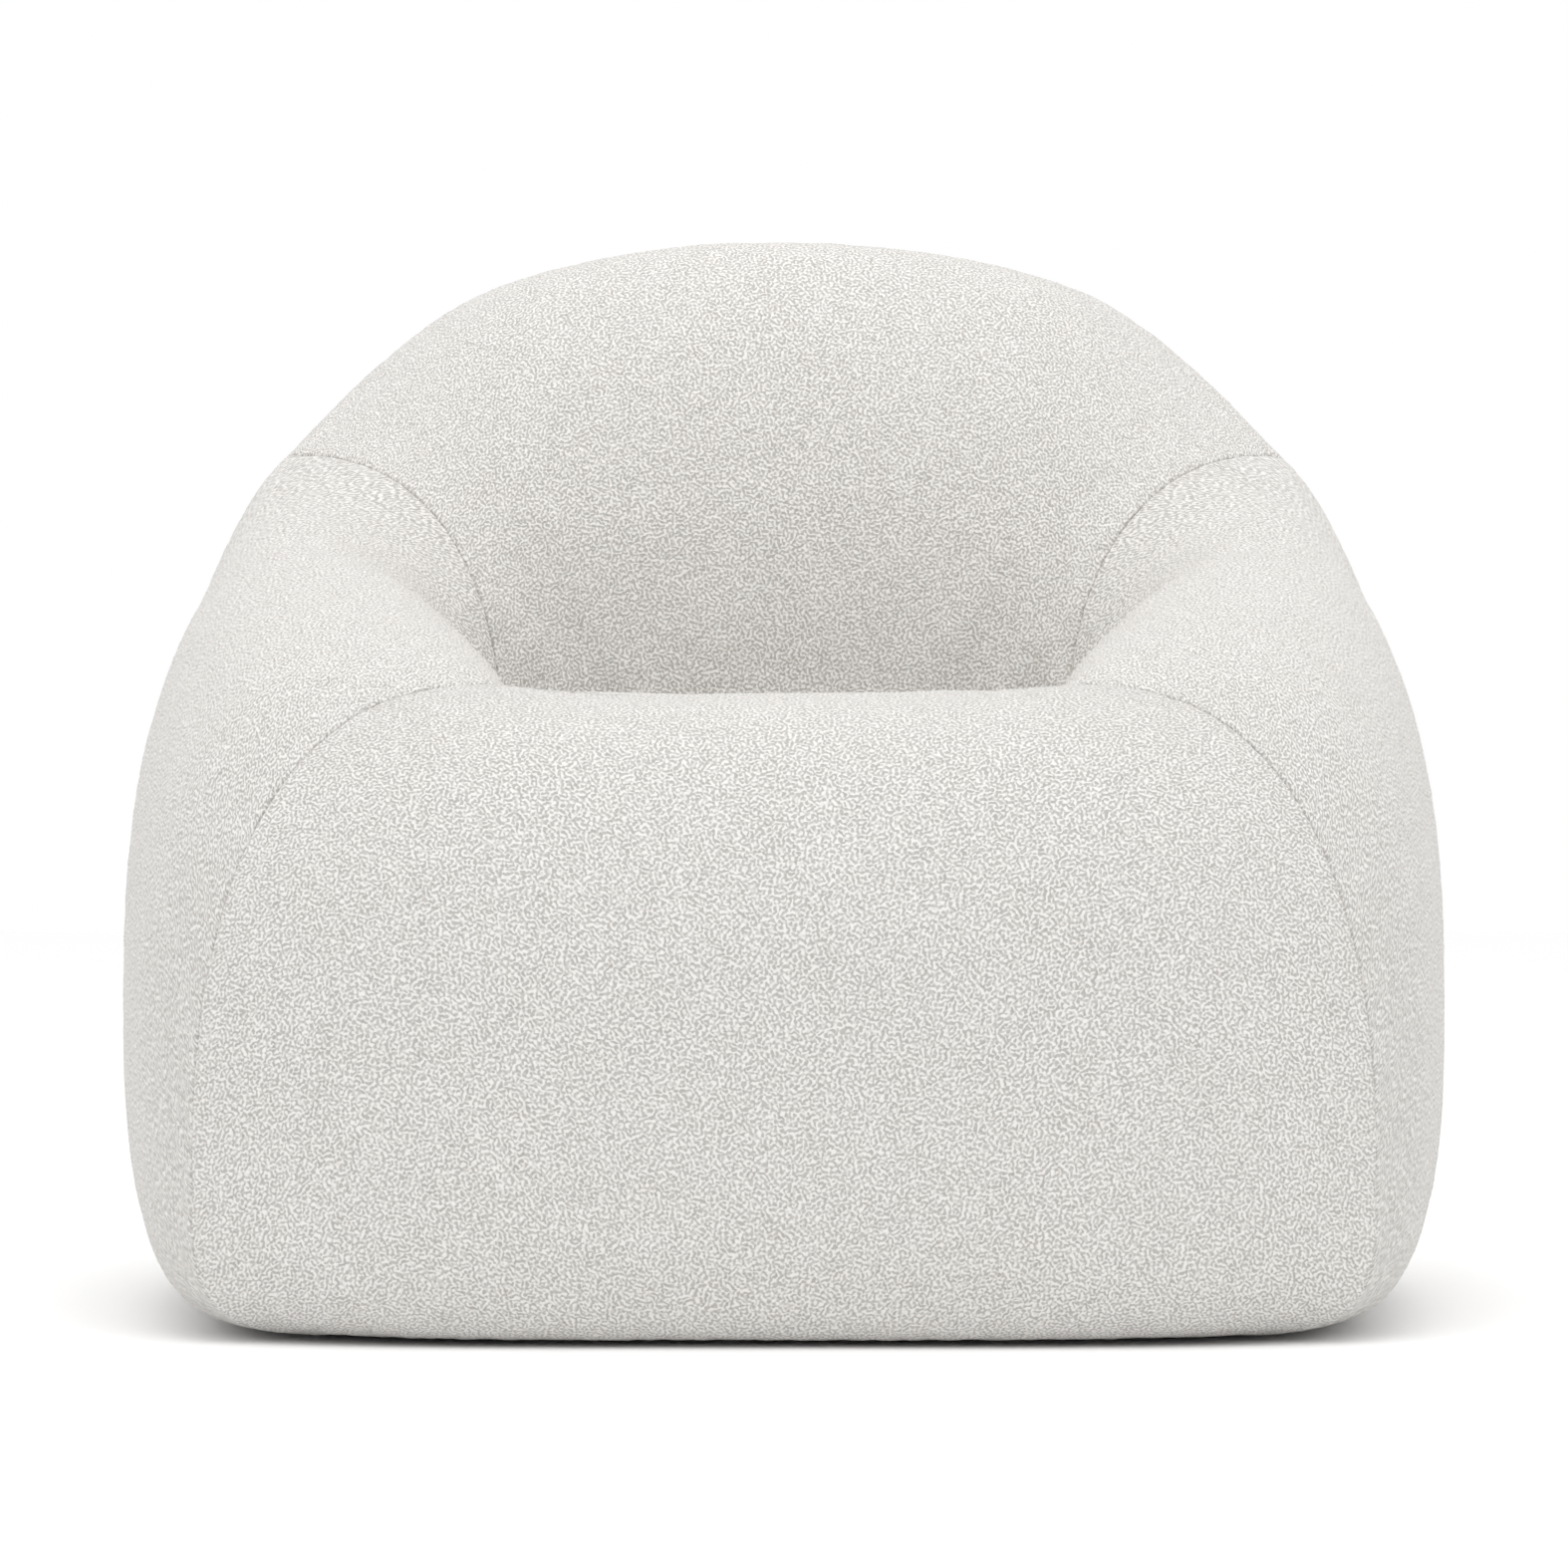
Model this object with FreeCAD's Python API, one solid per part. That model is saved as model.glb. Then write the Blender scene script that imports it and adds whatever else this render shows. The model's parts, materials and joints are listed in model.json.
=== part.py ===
import FreeCAD, Part
import math
import os

# Upholstered tub armchair, in millimetres. +Z is up, +X is the sitter's left-to-right as seen from the front,
# the chair faces -Y, and the origin is on the floor under the middle of the chair.
#
# The body is drawn as sections. Each section stands on a vertical plane (a page) that runs from the inner
# crease, where the arm or back meets the seat, out to the outline of the chair. The pages fan round from the
# middle of the back to the front seam, and the left half mirrors the right half.

V = FreeCAD.Vector

# ---------------------------------------------------------------- driving dimensions: outside shape
HALF_WIDTH = 496.0          # half of the overall width, at the arms
BACK_HEIGHT = 831.0         # top of the back
SEAT_CROWN = 467.0          # highest line of the seat, behind its front edge
SEAT_REAR = 415.0           # seat height where it meets the back
BACK_Y = 450.0              # rear face of the back
FRONT_Y = -450.0            # front face
FLOOR_GAP = 10.0            # underside of the body above the floor

# Section stations, evenly spaced from the middle of the back (first) to the front seam (last):
# inner crease x and y, outline x and y, crease height, share of the width where the rim is highest,
# rim height, height of the widest point, roundness of the outside and of the inside.
STATIONS = [
    (0.0, 165.0, 0.0, BACK_Y, SEAT_REAR, 0.52, BACK_HEIGHT, 270.0, 2.60, 2.45),
    (148.0, 151.0, 294.0, 404.0, 417.0, 0.60, 793.0, 270.0, 2.60, 2.4),
    (221.0, 110.0, 453.0, 254.0, 422.0, 0.73, 655.0, 270.0, 2.25, 2.2),
    (252.0, 30.0, 491.0, 98.0, 428.0, 0.54, 590.0, 270.0, 2.50, 2.0),
    (224.0, -70.0, HALF_WIDTH, -60.0, 436.0, 0.46, 558.0, 270.0, 2.55, 2.0),
    (206.0, -165.0, 482.0, -225.0, 446.0, 0.40, 526.0, 250.0, 2.35, 2.0),
    (202.0, -245.0, 460.0, -340.0, 456.0, 0.26, 495.0, 190.0, 2.40, 2.0),
    (206.0, -300.0, 421.0, -395.0, 464.0, 0.03, 468.0, 110.0, 2.45, 2.0),
]
BACK_SEAM = 2.0 / 7.0       # the back seam's place along the stations
FRONT_SEAM = 1.0
FOOT_INSET = 120.0          # the foot's rounding reaches this far in from the widest point
FOOT_ROUND = 3.45           # roundness of the foot
WRAP = 50.0                 # fabric turned under the base
TUCK = 85.0                 # foam and wadding that go down beside the seat
BACK_FOAM_JOIN = 1.22       # the back's inside foam goes over the rim to here, where the outside foam starts

CROWN_Y = -300.0            # the seat is highest here
FRONT_WIDEST_Z = 220.0      # the front face stands furthest forward here
FRONT_ROUND = 2.35          # roundness of the seat's front edge
SEAT_RISE = 1.2             # how the seat rises from its rear to its crown
SEAT_BOW = (2.5, 3.2, 5.0)  # how the seat's rear edge, its crown and its front bow across the chair
SEAT_DOME = 4.0             # how flat the seat is across

# ---------------------------------------------------------------- driving dimensions: layers, from the outside in
SEAM_GAP = 0.0006           # gap between neighbouring panels, as a share of the half round
SEAT_GAP = 1.5              # gap between the seat and the arms and back
COVER = (0.0, 2.4)          # a layer's outer and inner depth under the outside
WADDING = (2.8, 8.0)
FOAM = (8.4, 40.0)
FRONT_FOAM = (8.9, 39.6)
FRONT_FOAM_START = 1.03     # where the front foam starts, just over the seat's crown
SEAT_FOAM_SHARE = (0.995, 0.996)    # the seat foam's share of the seat, across and from rear to crown
BOARD = (40.8, 44.8)
HOOP = (45.2, 57.2)
RIB_DEPTH = 45.6            # depth of a rib's edge, and of its notch for the hoop
RIB_NOTCH = 61.0
THIN = 9.0                  # layers no deeper than this follow the skin, deeper ones are a smaller section
TIGHTEST = 15.0             # least half-size of the inner roll in a deeper section
FOOT_FOAM = 0.30            # the foam thins to this share as it turns under the base
FOOT_THINNING = (2.3, 0.7)  # where along the section the thinning starts, and how long it takes
SEAT_GAP_FADE = 12.0        # how fast the seat gap closes before the crown
REAR_GAP_FADE = 8.0         # how fast the gap behind the seat closes

# ---------------------------------------------------------------- driving dimensions: frame
PLY = 18.0                  # plywood of the ribs and the base ring
BASE_Z = 27.0               # underside of the base ring
BASE_INSET = 98.0           # the ring's edge, in from the outline
BASE_ROUND_REAR, BASE_ROUND_FRONT = 2.6, 6.0
FIT = 0.3                   # play between pieces that bear on each other
JOINT_PLAY = 0.2            # play where posts, rails and brace meet
RIB_PLAY = 3.0              # play between a rib and the boards bent over it
FRONT_RIB_PLAY = 4.0
FRONT_RIB_TOP = 1.42        # where a front rib starts along the front section
RIB_TOE = 6.0               # a rib's foot stops this far inside the ring's edge
BASE_TOP = BASE_Z + PLY
HATCH_X, HATCH_FRONT, HATCH_REAR = 190.0, -255.0, 105.0     # opening in the base ring
HATCH_CORNER = 30.0
SLOT_SHARE, SLOT_MOST = 0.22, 32.0      # a rib slot's radius, as a share of the rib's width, and at most
SLOT_FOOT, SLOT_HEAD = 45.0, 2.6        # wood left under a rib's slot, and over it in slot radii
RAIL = 25.0                 # thickness of the seat rails
RAIL_TOP, RAIL_BOTTOM = 300.0, 215.0
POST = 45.0
BOX_X, BOX_FRONT, BOX_REAR = 236.0, -315.0, 160.0
BRACE_FRONT, BRACE_BOTTOM, BRACE_TOP = -90.0, 218.0, 256.0

ARM_RIBS = (0.40, 0.60, 0.83)
BACK_RIBS = (-0.17, 0.0, 0.17)
FRONT_RIBS = (-0.55, 0.0, 0.55)

SPRING_WIRE = 3.6
SPRING_Z = RAIL_TOP + 4.2
SPRING_HALF = 22.0          # half of a spring's zigzag width
SPRING_BEND = 11.0          # bend radius
SPRING_END = 11.0           # the springs stop this far inside the rails' outer faces
SPRING_X = (-160.0, -80.0, 0.0, 80.0, 160.0)
CLIP_WIDE, CLIP_REACH, CLIP_SHEET = 16.0, 8.5, 1.4
CLIP_PLAY, CLIP_SEAT = 0.15, 0.1        # play over the wire and over the rail
TIE_WIRE = 2.4
TIE_PLACES = (-150.0, -15.0)
TIE_OVERHANG = 30.0
WIRE_PLAY = 0.1
PAD_THICK, PAD_PLAY = 4.0, 0.2
PAD_X, PAD_FRONT, PAD_REAR = 190.0, -285.0, 125.0
SEAT_FOAM_BOTTOM = 318.5

GLIDE_R, GLIDE_CHAMFER = 20.0, 2.0
GLIDE_PLACES = ((300.0, -250.0), (250.0, 195.0))
DUST_Z, DUST_THICK = 8.9, 0.9
DUST_INSET = 142.0
GLIDE_PLAY = 0.1
STAPLE = (11.0, 1.2, 0.6)
STAPLE_COUNT, STAPLE_INSET, STAPLE_PLAY = 56, 9.0, 0.05
NAIL_R, NAIL_HEAD_R = 1.6, 5.0
NAIL_HEAD = (4.0, 5.2)      # heights of a glide nail's head
NAIL_STOP = 4.0             # wood left over a nail's point
SCREW_R, SCREW_HEAD_R, SCREW_HEAD_H = 2.2, 4.2, 2.6
SCREW_REACH = 28.0          # how far a screw goes into the rib or post

OUTSIDE_BOARD = (1.22, 2.28)    # stretches of the section that the boards and the hoop cover
INSIDE_BOARD = (0.05, 0.80)
FRONT_BOARD = (1.45, 2.28)
HOOP_SPAN = (0.88, 1.10)
HOOP_NOTCH_PLAY = 0.02      # the ribs' notches are this much longer than the hoop, along the section
BOARD_END = 0.92            # the boards and the hoop stop this far round, near the front seam
FRONT_BOARD_SHARE = 0.985   # the front board's share of the front's width

EDGE_SAMPLES = 22           # points along one stretch of a section
BOARD_SAMPLES = 14
ROW_SAMPLES = 27            # points across the seat and front
PAGE_SAMPLES = 7            # pages between two stations


# ---------------------------------------------------------------- sections
def station(u):
    """The section numbers at u, 0 at the middle of the back and 1 at the front seam, on a smooth curve."""
    last = len(STATIONS) - 1
    place = min(max(u * last, 0.0), float(last))
    i = min(int(place), last - 1)
    f = place - i

    def value(j, k):
        if j < 0:
            return -STATIONS[-j][k] if k in (0, 2) else STATIONS[-j][k]
        if j > last:
            return 2.0 * STATIONS[last][k] - STATIONS[last - 1][k]
        return STATIONS[j][k]

    numbers = []
    for k in range(len(STATIONS[0])):
        a, b, c, d = (value(j, k) for j in (i - 1, i, i + 1, i + 2))
        slope_b, slope_c = (c - a) / 2.0, (d - b) / 2.0
        f2, f3 = f * f, f * f * f
        numbers.append(b * (2 * f3 - 3 * f2 + 1) + slope_b * (f3 - 2 * f2 + f)
                       + c * (3 * f2 - 2 * f3) + slope_c * (f3 - f2))
    return numbers


def round_arc(share, roundness):
    """A quarter of a rounded box: 1, 0 at share 0 and 0, 1 at share 1."""
    angle = share * math.pi / 2
    power = 2.0 / roundness
    return max(math.cos(angle), 0.0) ** power, max(math.sin(angle), 0.0) ** power


def section(u, s):
    """A point of the outside section at u, as distance out from the crease and height.

    s runs -1 to 0 up beside the seat, to 1 up the inside to the rim, to 2 down to the widest point,
    to 3 round the foot, and to 4 under the base.
    """
    inner_x, inner_y, outer_x, outer_y, crease, rim_share, rim, widest, outside, inside = station(u)
    width = math.hypot(outer_x - inner_x, outer_y - inner_y)
    rim_out = rim_share * width
    if s <= 0:
        return 0.0, crease + s * TUCK
    if s <= 1:
        c, q = round_arc(s, inside)
        return rim_out - rim_out * c, crease + (rim - crease) * q
    if s <= 2:
        c, q = round_arc(s - 1, outside)
        return rim_out + (width - rim_out) * q, widest + (rim - widest) * c
    if s <= 3:
        c, q = round_arc(s - 2, FOOT_ROUND)
        return width - FOOT_INSET + FOOT_INSET * c, widest - (widest - FLOOR_GAP) * q
    return width - FOOT_INSET - (s - 3) * WRAP, FLOOR_GAP


def inset(curve, s, depth):
    """The point of a flat curve at s, moved in by depth across the curve."""
    step = 0.004
    ahead = curve(s + step)
    behind = curve(s - step)
    along = (ahead[0] - behind[0], ahead[1] - behind[1])
    length = math.hypot(along[0], along[1])
    here = curve(s)
    return here[0] + along[1] / length * depth, here[1] - along[0] / length * depth


def smaller_section(u, s, depth):
    """The section at u shrunk by depth: it has the same stretches, and never folds over itself."""
    inner_x, inner_y, outer_x, outer_y, crease, rim_share, rim, widest, outside, inside = station(u)
    width = math.hypot(outer_x - inner_x, outer_y - inner_y)
    roll = max(rim_share * width - depth, TIGHTEST)
    roll_height = max(rim - crease - depth, TIGHTEST)
    start = rim - depth - roll_height
    if s <= 0:
        return depth, start + s * (start - crease + TUCK)
    if s <= 1:
        c, q = round_arc(s, inside)
        return depth + roll - roll * c, start + roll_height * q
    if s <= 2:
        c, q = round_arc(s - 1, outside)
        return depth + roll + (width - 2 * depth - roll) * q, widest + (rim - depth - widest) * c
    c, q = round_arc(s - 2, FOOT_ROUND)
    foot = foot_height(depth)
    return width - FOOT_INSET + (FOOT_INSET - depth) * c, widest - (widest - foot) * q


def level(u, s, depth):
    """The section at u, so deep under the outside."""
    if depth <= THIN:
        return inset(lambda t: section(u, t), s, foot_thinning(s, depth))
    return smaller_section(u, s, depth)


def page_point(u, out, height, side=1.0):
    """The point that is so far out from the crease on the page at u. A negative u mirrors the page."""
    inner_x, inner_y, outer_x, outer_y = station(abs(u))[:4]
    width = math.hypot(outer_x - inner_x, outer_y - inner_y)
    mirror = side if u >= 0 else -side
    x = inner_x + (outer_x - inner_x) / width * out
    y = inner_y + (outer_y - inner_y) / width * out
    return V(mirror * x, y, height)


def foot_thinning(s, depth):
    """Soft layers get thinner as they turn under the base. The cover, at the outside, doesn't."""
    if depth <= COVER[1]:
        return depth
    start, length = FOOT_THINNING
    share = min(max(s - start, 0.0) / length, 1.0)
    return COVER[1] + (depth - COVER[1]) * (1.0 - (1.0 - FOOT_FOAM) * share)


def foot_height(depth):
    """How high a deep layer ends as it turns under the base."""
    return FLOOR_GAP + COVER[1] + (depth - COVER[1]) * FOOT_FOAM


def ring_point(u, s, depth, side=1.0):
    out, height = level(abs(u), s, depth)
    return page_point(u, out, height, side)


def front_centre(s):
    """The middle line of the seat and front: s to 1 seat, to 2 front edge, to 3 foot, to 4 under the base."""
    if s <= 1:
        rise = math.sin(max(s, 0.0) * math.pi / 2) ** SEAT_RISE
        rear_y = STATIONS[0][1]
        return rear_y + (CROWN_Y - rear_y) * s, SEAT_REAR + (SEAT_CROWN - SEAT_REAR) * rise
    if s <= 2:
        c, q = round_arc(s - 1, FRONT_ROUND)
        return CROWN_Y + (FRONT_Y - CROWN_Y) * q, FRONT_WIDEST_Z + (SEAT_CROWN - FRONT_WIDEST_Z) * c
    if s <= 3:
        c, q = round_arc(s - 2, FOOT_ROUND)
        return FRONT_Y + FOOT_INSET - FOOT_INSET * c, FRONT_WIDEST_Z - (FRONT_WIDEST_Z - FLOOR_GAP) * q
    return FRONT_Y + FOOT_INSET + (s - 3) * WRAP, FLOOR_GAP


def smaller_front(s, depth):
    """The middle line of the front, shrunk by depth, from the crown down."""
    if s <= 2:
        c, q = round_arc(s - 1, FRONT_ROUND)
        return (CROWN_Y + (FRONT_Y + depth - CROWN_Y) * q,
                FRONT_WIDEST_Z + (SEAT_CROWN - depth - FRONT_WIDEST_Z) * c)
    c, q = round_arc(s - 2, FOOT_ROUND)
    foot = foot_height(depth)
    return FRONT_Y + FOOT_INSET - (FOOT_INSET - depth) * c, FRONT_WIDEST_Z - (FRONT_WIDEST_Z - foot) * q


def front_level(s, depth):
    """The middle line, so deep under the outside."""
    if depth <= THIN:
        return inset(front_centre, s, -foot_thinning(s, depth))
    return smaller_front(s, depth)


def front_point(v, s, depth):
    """A point so deep under the seat and front, v -1 to 1 across. Its sides lie on the front seams."""
    middle_y, middle_z = front_level(s, depth)
    if s <= 1:
        edge = station(BACK_SEAM + (FRONT_SEAM - BACK_SEAM) * s)
        edge_x, edge_y, edge_z = edge[0], edge[1], edge[4] - depth
        bow = SEAT_BOW[0] + (SEAT_BOW[1] - SEAT_BOW[0]) * s
        dome = SEAT_DOME
    else:
        out, edge_z = level(FRONT_SEAM, s, depth)
        seam = page_point(FRONT_SEAM, out, edge_z)
        edge_x, edge_y = seam.x, seam.y
        bow = SEAT_BOW[1] + (SEAT_BOW[2] - SEAT_BOW[1]) * min(s - 1, 1.0)
        dome = bow
    across = abs(v)
    return V(v * edge_x,
             edge_y + (middle_y - edge_y) * (1 - across ** bow),
             edge_z + (middle_z - edge_z) * (1 - across ** dome))


# ---------------------------------------------------------------- solids
def spread(low, high, count):
    return [low + (high - low) * i / (count - 1) for i in range(count)]


def knots(low, high, count):
    """Values along a section, with a point at each whole number, where two stretches meet."""
    marks = [low] + [m for m in range(-1, 5) if low < m < high] + [high]
    values = [low]
    for a, b in zip(marks, marks[1:]):
        values += spread(a, b, max(4, int(round(count * (b - a)))))[1:]
    return values


def surface(point, us, ss):
    patch = Part.BSplineSurface()
    patch.interpolate([[point(u, s) for s in ss] for u in us])
    return patch


def closed_solid(faces):
    shell = Part.Compound(faces)
    shell.sewShape()
    solid = Part.Solid(shell.Shells[0])
    if solid.Volume < 0:
        solid.reverse()
    return solid


def layer(outer, inner, us, ss):
    """A solid between two surfaces over the same grid."""
    top = surface(outer, us, ss)
    bottom = surface(inner, us, ss)
    faces = [top.toShape(), bottom.toShape()]
    for iso, place in (("uIso", 0.0), ("uIso", 1.0), ("vIso", 0.0), ("vIso", 1.0)):
        edges = [getattr(patch, iso)(place).toShape() for patch in (top, bottom)]
        faces.append(Part.makeRuledSurface(edges[0], edges[1], 1))
    return closed_solid(faces)


def ring_layer(depths, u_span, s_span, side=1.0, samples=EDGE_SAMPLES):
    """A layer of the arms or back."""
    pages = max(8, int(round((u_span[1] - u_span[0]) * (len(STATIONS) - 1) * PAGE_SAMPLES)))
    return layer(lambda u, s: ring_point(u, s, depths[0], side),
                 lambda u, s: ring_point(u, s, depths[1], side),
                 spread(u_span[0], u_span[1], pages), knots(s_span[0], s_span[1], samples))


def front_layer(depths, v_limit, s_span, samples=EDGE_SAMPLES):
    """A layer of the seat and front. Beside the seat it stops short of the arms and back."""
    def point(v, s, depth):
        here = front_point(v, s, depth)
        return seat_inset(here, v, s) if s < 1 else here
    return layer(lambda v, s: point(v, s, depths[0]), lambda v, s: point(v, s, depths[1]),
                 spread(-v_limit, v_limit, ROW_SAMPLES), knots(s_span[0], s_span[1], samples))


def seat_inset(here, v, s):
    """Pull the seat's edges in from the arms and back by the seat gap, fading out at the crown."""
    fade = min((1.0 - s) * SEAT_GAP_FADE, 1.0)
    rear = max(1.0 - s * REAR_GAP_FADE, 0.0)
    return V(here.x - v * SEAT_GAP * fade, here.y - SEAT_GAP * rear, here.z)


def box(x0, x1, y0, y1, z0, z1):
    return Part.makeBox(x1 - x0, y1 - y0, z1 - z0, V(x0, y0, z0))


def cylinder(radius, x, y, z0, z1):
    return Part.makeCylinder(radius, z1 - z0, V(x, y, z0), V(0, 0, 1))


ARM_SPAN = (BACK_SEAM + SEAM_GAP, FRONT_SEAM - SEAM_GAP)
BACK_SPAN = (-BACK_SEAM, BACK_SEAM)
SIDES = (("left", -1.0), ("right", 1.0))
parts = {}


def save(name, shape):
    parts[name] = shape


def make_soft_layers():
    """Cover, wadding and foam of the back, the arms, the seat and the front."""
    v_limit = 1.0 - 2.0 * SEAM_GAP
    for name, depths, s_span in (("cover", COVER, (0.0, 4.0)),
                                 ("wadding", WADDING, (-1.0, 3.0)),
                                 ("foam", FOAM, (-1.0, 3.0))):
        for side_name, side in SIDES:
            save(side_name + "_arm_" + name, ring_layer(depths, ARM_SPAN, s_span, side))
        if depths != FOAM:
            save("back_" + name, ring_layer(depths, BACK_SPAN, s_span))
    save("back_inside_foam", ring_layer(FOAM, BACK_SPAN, (-1.0, BACK_FOAM_JOIN - SEAM_GAP)))
    save("back_outside_foam", ring_layer(FOAM, BACK_SPAN, (BACK_FOAM_JOIN + SEAM_GAP, 3.0)))
    save("seat_front_cover", front_layer(COVER, v_limit, (0.0, 4.0)))
    save("seat_front_wadding", front_layer(WADDING, v_limit, (0.0, 3.0)))
    save("front_foam", front_layer(FRONT_FOAM, v_limit, (FRONT_FOAM_START, 3.0)))
    save("seat_foam", seat_block())


def seat_block():
    """The seat's foam, from under its wadding down to the spring pad."""
    def top(v, s):
        return seat_inset(front_point(v, s, FOAM[0]), v, s)

    def bottom(v, s):
        above = top(v, s)
        return V(above.x, above.y, SEAT_FOAM_BOTTOM)
    across, along = SEAT_FOAM_SHARE
    return layer(top, bottom, spread(-across, across, ROW_SAMPLES), spread(0.0, along, EDGE_SAMPLES))


def make_boards():
    """Bent hardboard behind the foam, inside and outside."""
    arm_span = (ARM_SPAN[0], BOARD_END)
    for name, s_span in (("outside", OUTSIDE_BOARD), ("inside", INSIDE_BOARD)):
        save("back_%s_board" % name, ring_layer(BOARD, BACK_SPAN, s_span, samples=BOARD_SAMPLES))
        for side_name, side in SIDES:
            board = ring_layer(BOARD, arm_span, s_span, side, samples=BOARD_SAMPLES)
            save("%s_arm_%s_board" % (side_name, name), board)
    save("front_board", front_layer(BOARD, FRONT_BOARD_SHARE, FRONT_BOARD, samples=BOARD_SAMPLES))


def make_hoop():
    """The laminated hoop that ties the ribs together under the rim."""
    save("crest_hoop", ring_layer(HOOP, (-BOARD_END, BOARD_END), HOOP_SPAN, samples=BOARD_SAMPLES))


def slant(u):
    """How far the crease and the outline lean across the page at u: the larger tangent of the two."""
    step = 0.01
    here, behind, ahead = station(u), station(max(u - step, 0.0)), station(min(u + step, 1.0))
    page = V(here[2] - here[0], here[3] - here[1], 0)
    page.normalize()
    leans = []
    for k in (0, 2):
        along = V(ahead[k] - behind[k], ahead[k + 1] - behind[k + 1], 0)
        leans.append(abs(along.dot(page)) / abs(along.x * page.y - along.y * page.x))
    return max(leans)


def rib(u, side):
    """A plywood rib: the section inside the boards, notched for the hoop, with a slot to save weight."""
    lean = slant(abs(u)) * PLY / 2 + RIB_PLAY
    profile = lambda s, depth: smaller_section(abs(u), s, depth + lean)
    width = section(abs(u), 2.0)[0]
    foot = BASE_TOP + FIT
    inner = RIB_DEPTH + lean
    low, high = HOOP_SPAN[0] - HOOP_NOTCH_PLAY, HOOP_SPAN[1] + HOOP_NOTCH_PLAY
    stretches = ((0.0, low, RIB_DEPTH), (low, high, RIB_NOTCH), (high, OUTSIDE_BOARD[1], RIB_DEPTH))
    edges, last = [], (inner, foot)
    for start, end, depth in stretches:
        run = [profile(s, depth) for s in spread(start, end, BOARD_SAMPLES)]
        edges.append(Part.LineSegment(V(last[0], 0, last[1]), V(run[0][0], 0, run[0][1])).toShape())
        curve = Part.BSplineCurve()
        curve.interpolate([V(a, 0, b) for a, b in run])
        edges.append(curve.toShape())
        last = run[-1]
    corners = [last, (width - BASE_INSET - RIB_TOE, foot), (inner, foot)]
    for a, b in zip(corners, corners[1:]):
        edges.append(Part.LineSegment(V(a[0], 0, a[1]), V(b[0], 0, b[1])).toShape())
    plate = Part.Face(Part.Wire(edges)).extrude(V(0, PLY, 0))
    plate = plate.cut(slot_hole(inner, width - inner, profile(1.0, RIB_NOTCH)[1]))
    plate.translate(V(0, -PLY / 2, 0))
    return on_page(plate, u, side)


def slot_hole(low_out, high_out, top):
    """The long hole in the middle of a rib."""
    middle = (low_out + high_out) / 2
    radius = min(SLOT_SHARE * (high_out - low_out), SLOT_MOST)
    low = BASE_TOP + SLOT_FOOT + radius
    high = top - SLOT_HEAD * radius
    hole = box(middle - radius, middle + radius, -1, PLY + 1, low, high)
    for z in (low, high):
        hole = hole.fuse(Part.makeCylinder(radius, PLY + 2, V(middle, -1, z), V(0, 1, 0)))
    return hole


def on_page(shape, u, side):
    """Place a shape drawn in the XZ plane (X out from the crease) onto the page at u."""
    start = page_point(u, 0.0, 0.0, side)
    end = page_point(u, 100.0, 0.0, side)
    angle = math.degrees(math.atan2(end.y - start.y, end.x - start.x))
    shape.rotate(V(0, 0, 0), V(0, 0, 1), angle)
    shape.translate(start)
    return shape


def make_ribs():
    for name, u in zip(("left_back_rib", "centre_back_rib", "right_back_rib"), BACK_RIBS):
        save(name, rib(u, 1.0))
    for side_name, side in SIDES:
        for place, u in zip(("rear", "middle", "front"), ARM_RIBS):
            save("%s_arm_%s_rib" % (side_name, place), rib(u, side))
    for name, v in zip(("left_front_rib", "centre_front_rib", "right_front_rib"), FRONT_RIBS):
        save(name, front_rib(v))


def front_rib(v):
    """An upright behind the front board, against the front seat rail."""
    depth = RIB_DEPTH + FRONT_RIB_PLAY
    line = [front_point(v, s, depth) for s in spread(FRONT_RIB_TOP, FRONT_BOARD[1], BOARD_SAMPLES)]
    x = line[0].x
    curve = Part.BSplineCurve()
    curve.interpolate([V(x, p.y, p.z) for p in line])
    toe, heel, foot = FRONT_Y + BASE_INSET + RIB_TOE, BOX_FRONT - FIT, BASE_TOP + FIT
    corners = [line[-1], V(x, toe, foot), V(x, heel, foot), V(x, heel, line[0].z), line[0]]
    corners = [V(x, p.y, p.z) for p in corners]
    edges = [curve.toShape()]
    edges += [Part.LineSegment(a, b).toShape() for a, b in zip(corners, corners[1:])]
    plate = Part.Face(Part.Wire(edges)).extrude(V(PLY, 0, 0))
    plate.translate(V(-PLY / 2, 0, 0))
    return plate


def outline(inset_by, points=96):
    """The base's flat outline: a rounded box, squarer at the front, set in from the chair's own outline."""
    around = []
    for i in range(points):
        angle = 2 * math.pi * i / points
        c, q = math.cos(angle), math.sin(angle)
        power = 2.0 / (BASE_ROUND_REAR if q > 0 else BASE_ROUND_FRONT)
        around.append(V((HALF_WIDTH - inset_by) * math.copysign(abs(c) ** power, c),
                        (BACK_Y - inset_by) * math.copysign(abs(q) ** power, q), 0))
    return around


def flat_plate(points, z0, z1):
    curve = Part.BSplineCurve()
    curve.interpolate([V(p.x, p.y, z0) for p in points], True)
    return Part.Face(Part.Wire([curve.toShape()])).extrude(V(0, 0, z1 - z0))


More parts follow.
